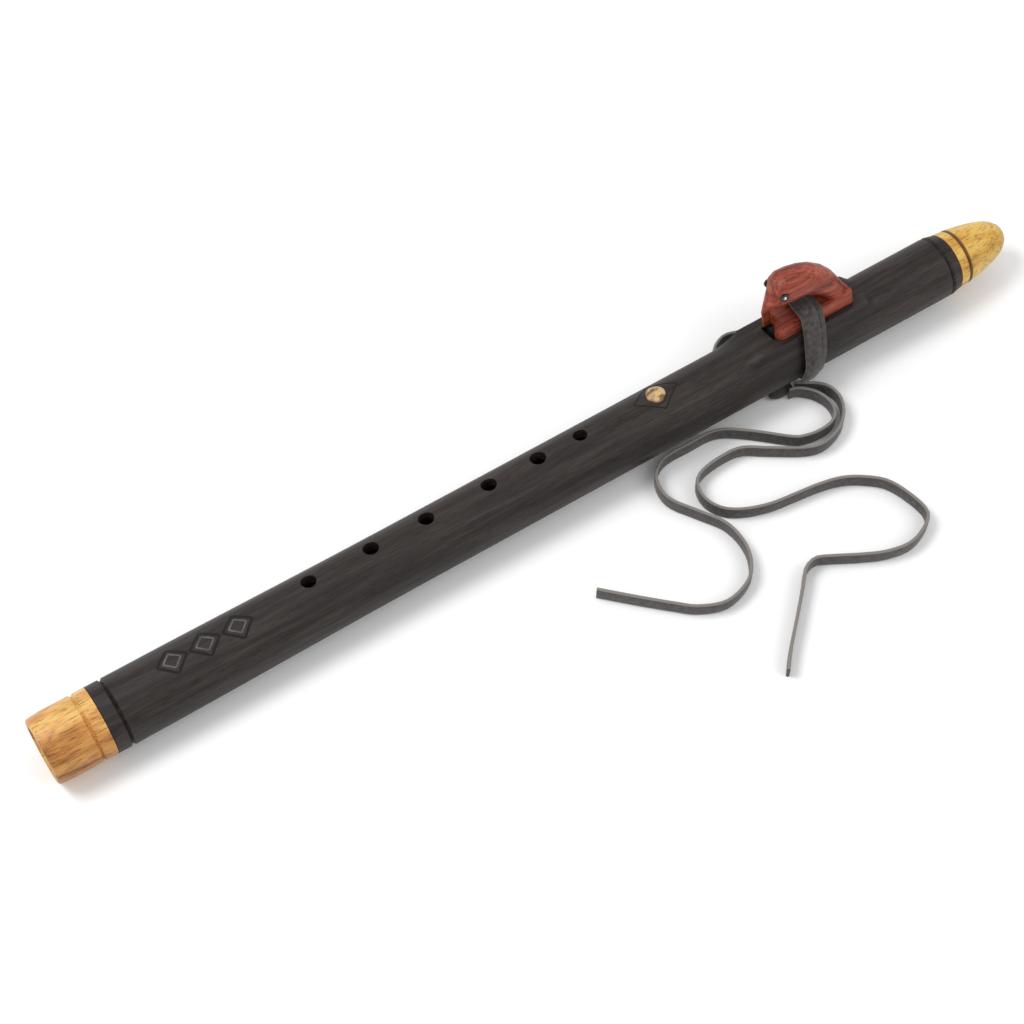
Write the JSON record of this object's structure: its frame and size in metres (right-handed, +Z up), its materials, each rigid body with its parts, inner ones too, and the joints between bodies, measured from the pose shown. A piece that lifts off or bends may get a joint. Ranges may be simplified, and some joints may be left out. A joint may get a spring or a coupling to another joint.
{
  "type": "wooden flute",
  "caption": "End-blown wooden flute with finger holes, a carved bird-head block tied over its air channel by a leather lace, a light wood foot ring and a rounded mouthpiece.",
  "frame": {"origin": "bottom centre of the flute's box without the loose lace, on the surface it rests on", "axes": "+X along the flute towards the mouthpiece, +Z up, holes leaning towards +Y"},
  "size_m": [0.5434, 0.171, 0.0672],
  "materials": {
    "ebony": "satin",
    "canarywood": "satin",
    "plug_wood": "plain",
    "padauk": "satin",
    "horn": "gloss",
    "eye_metal": "polished",
    "stone": "polished stone",
    "leather": "suede inside, smooth outside"
  },
  "bodies": {
    "flute": {"flute_body": "ebony", "foot_ring": "canarywood", "mouth_cap": "canarywood", "chamber_plug": "plug_wood", "cabochon": "stone", "lace_wrap": "leather", "lace_knot": "leather", "lace_loop": "leather", "lace_tail_a": "leather", "lace_tail_b": "leather"},
    "block": {"fetish_block": "padauk", "eye_ring_left": "horn", "eye_ring_right": "horn", "eye_pin_left": "eye_metal", "eye_pin_right": "eye_metal"}
  },
  "joints": [
    {"name": "block_slide", "type": "slide", "parent": "flute", "child": "block", "axis": [1, 0, 0.0052], "range_m": [-0.0015, 0.004]}
  ]
}
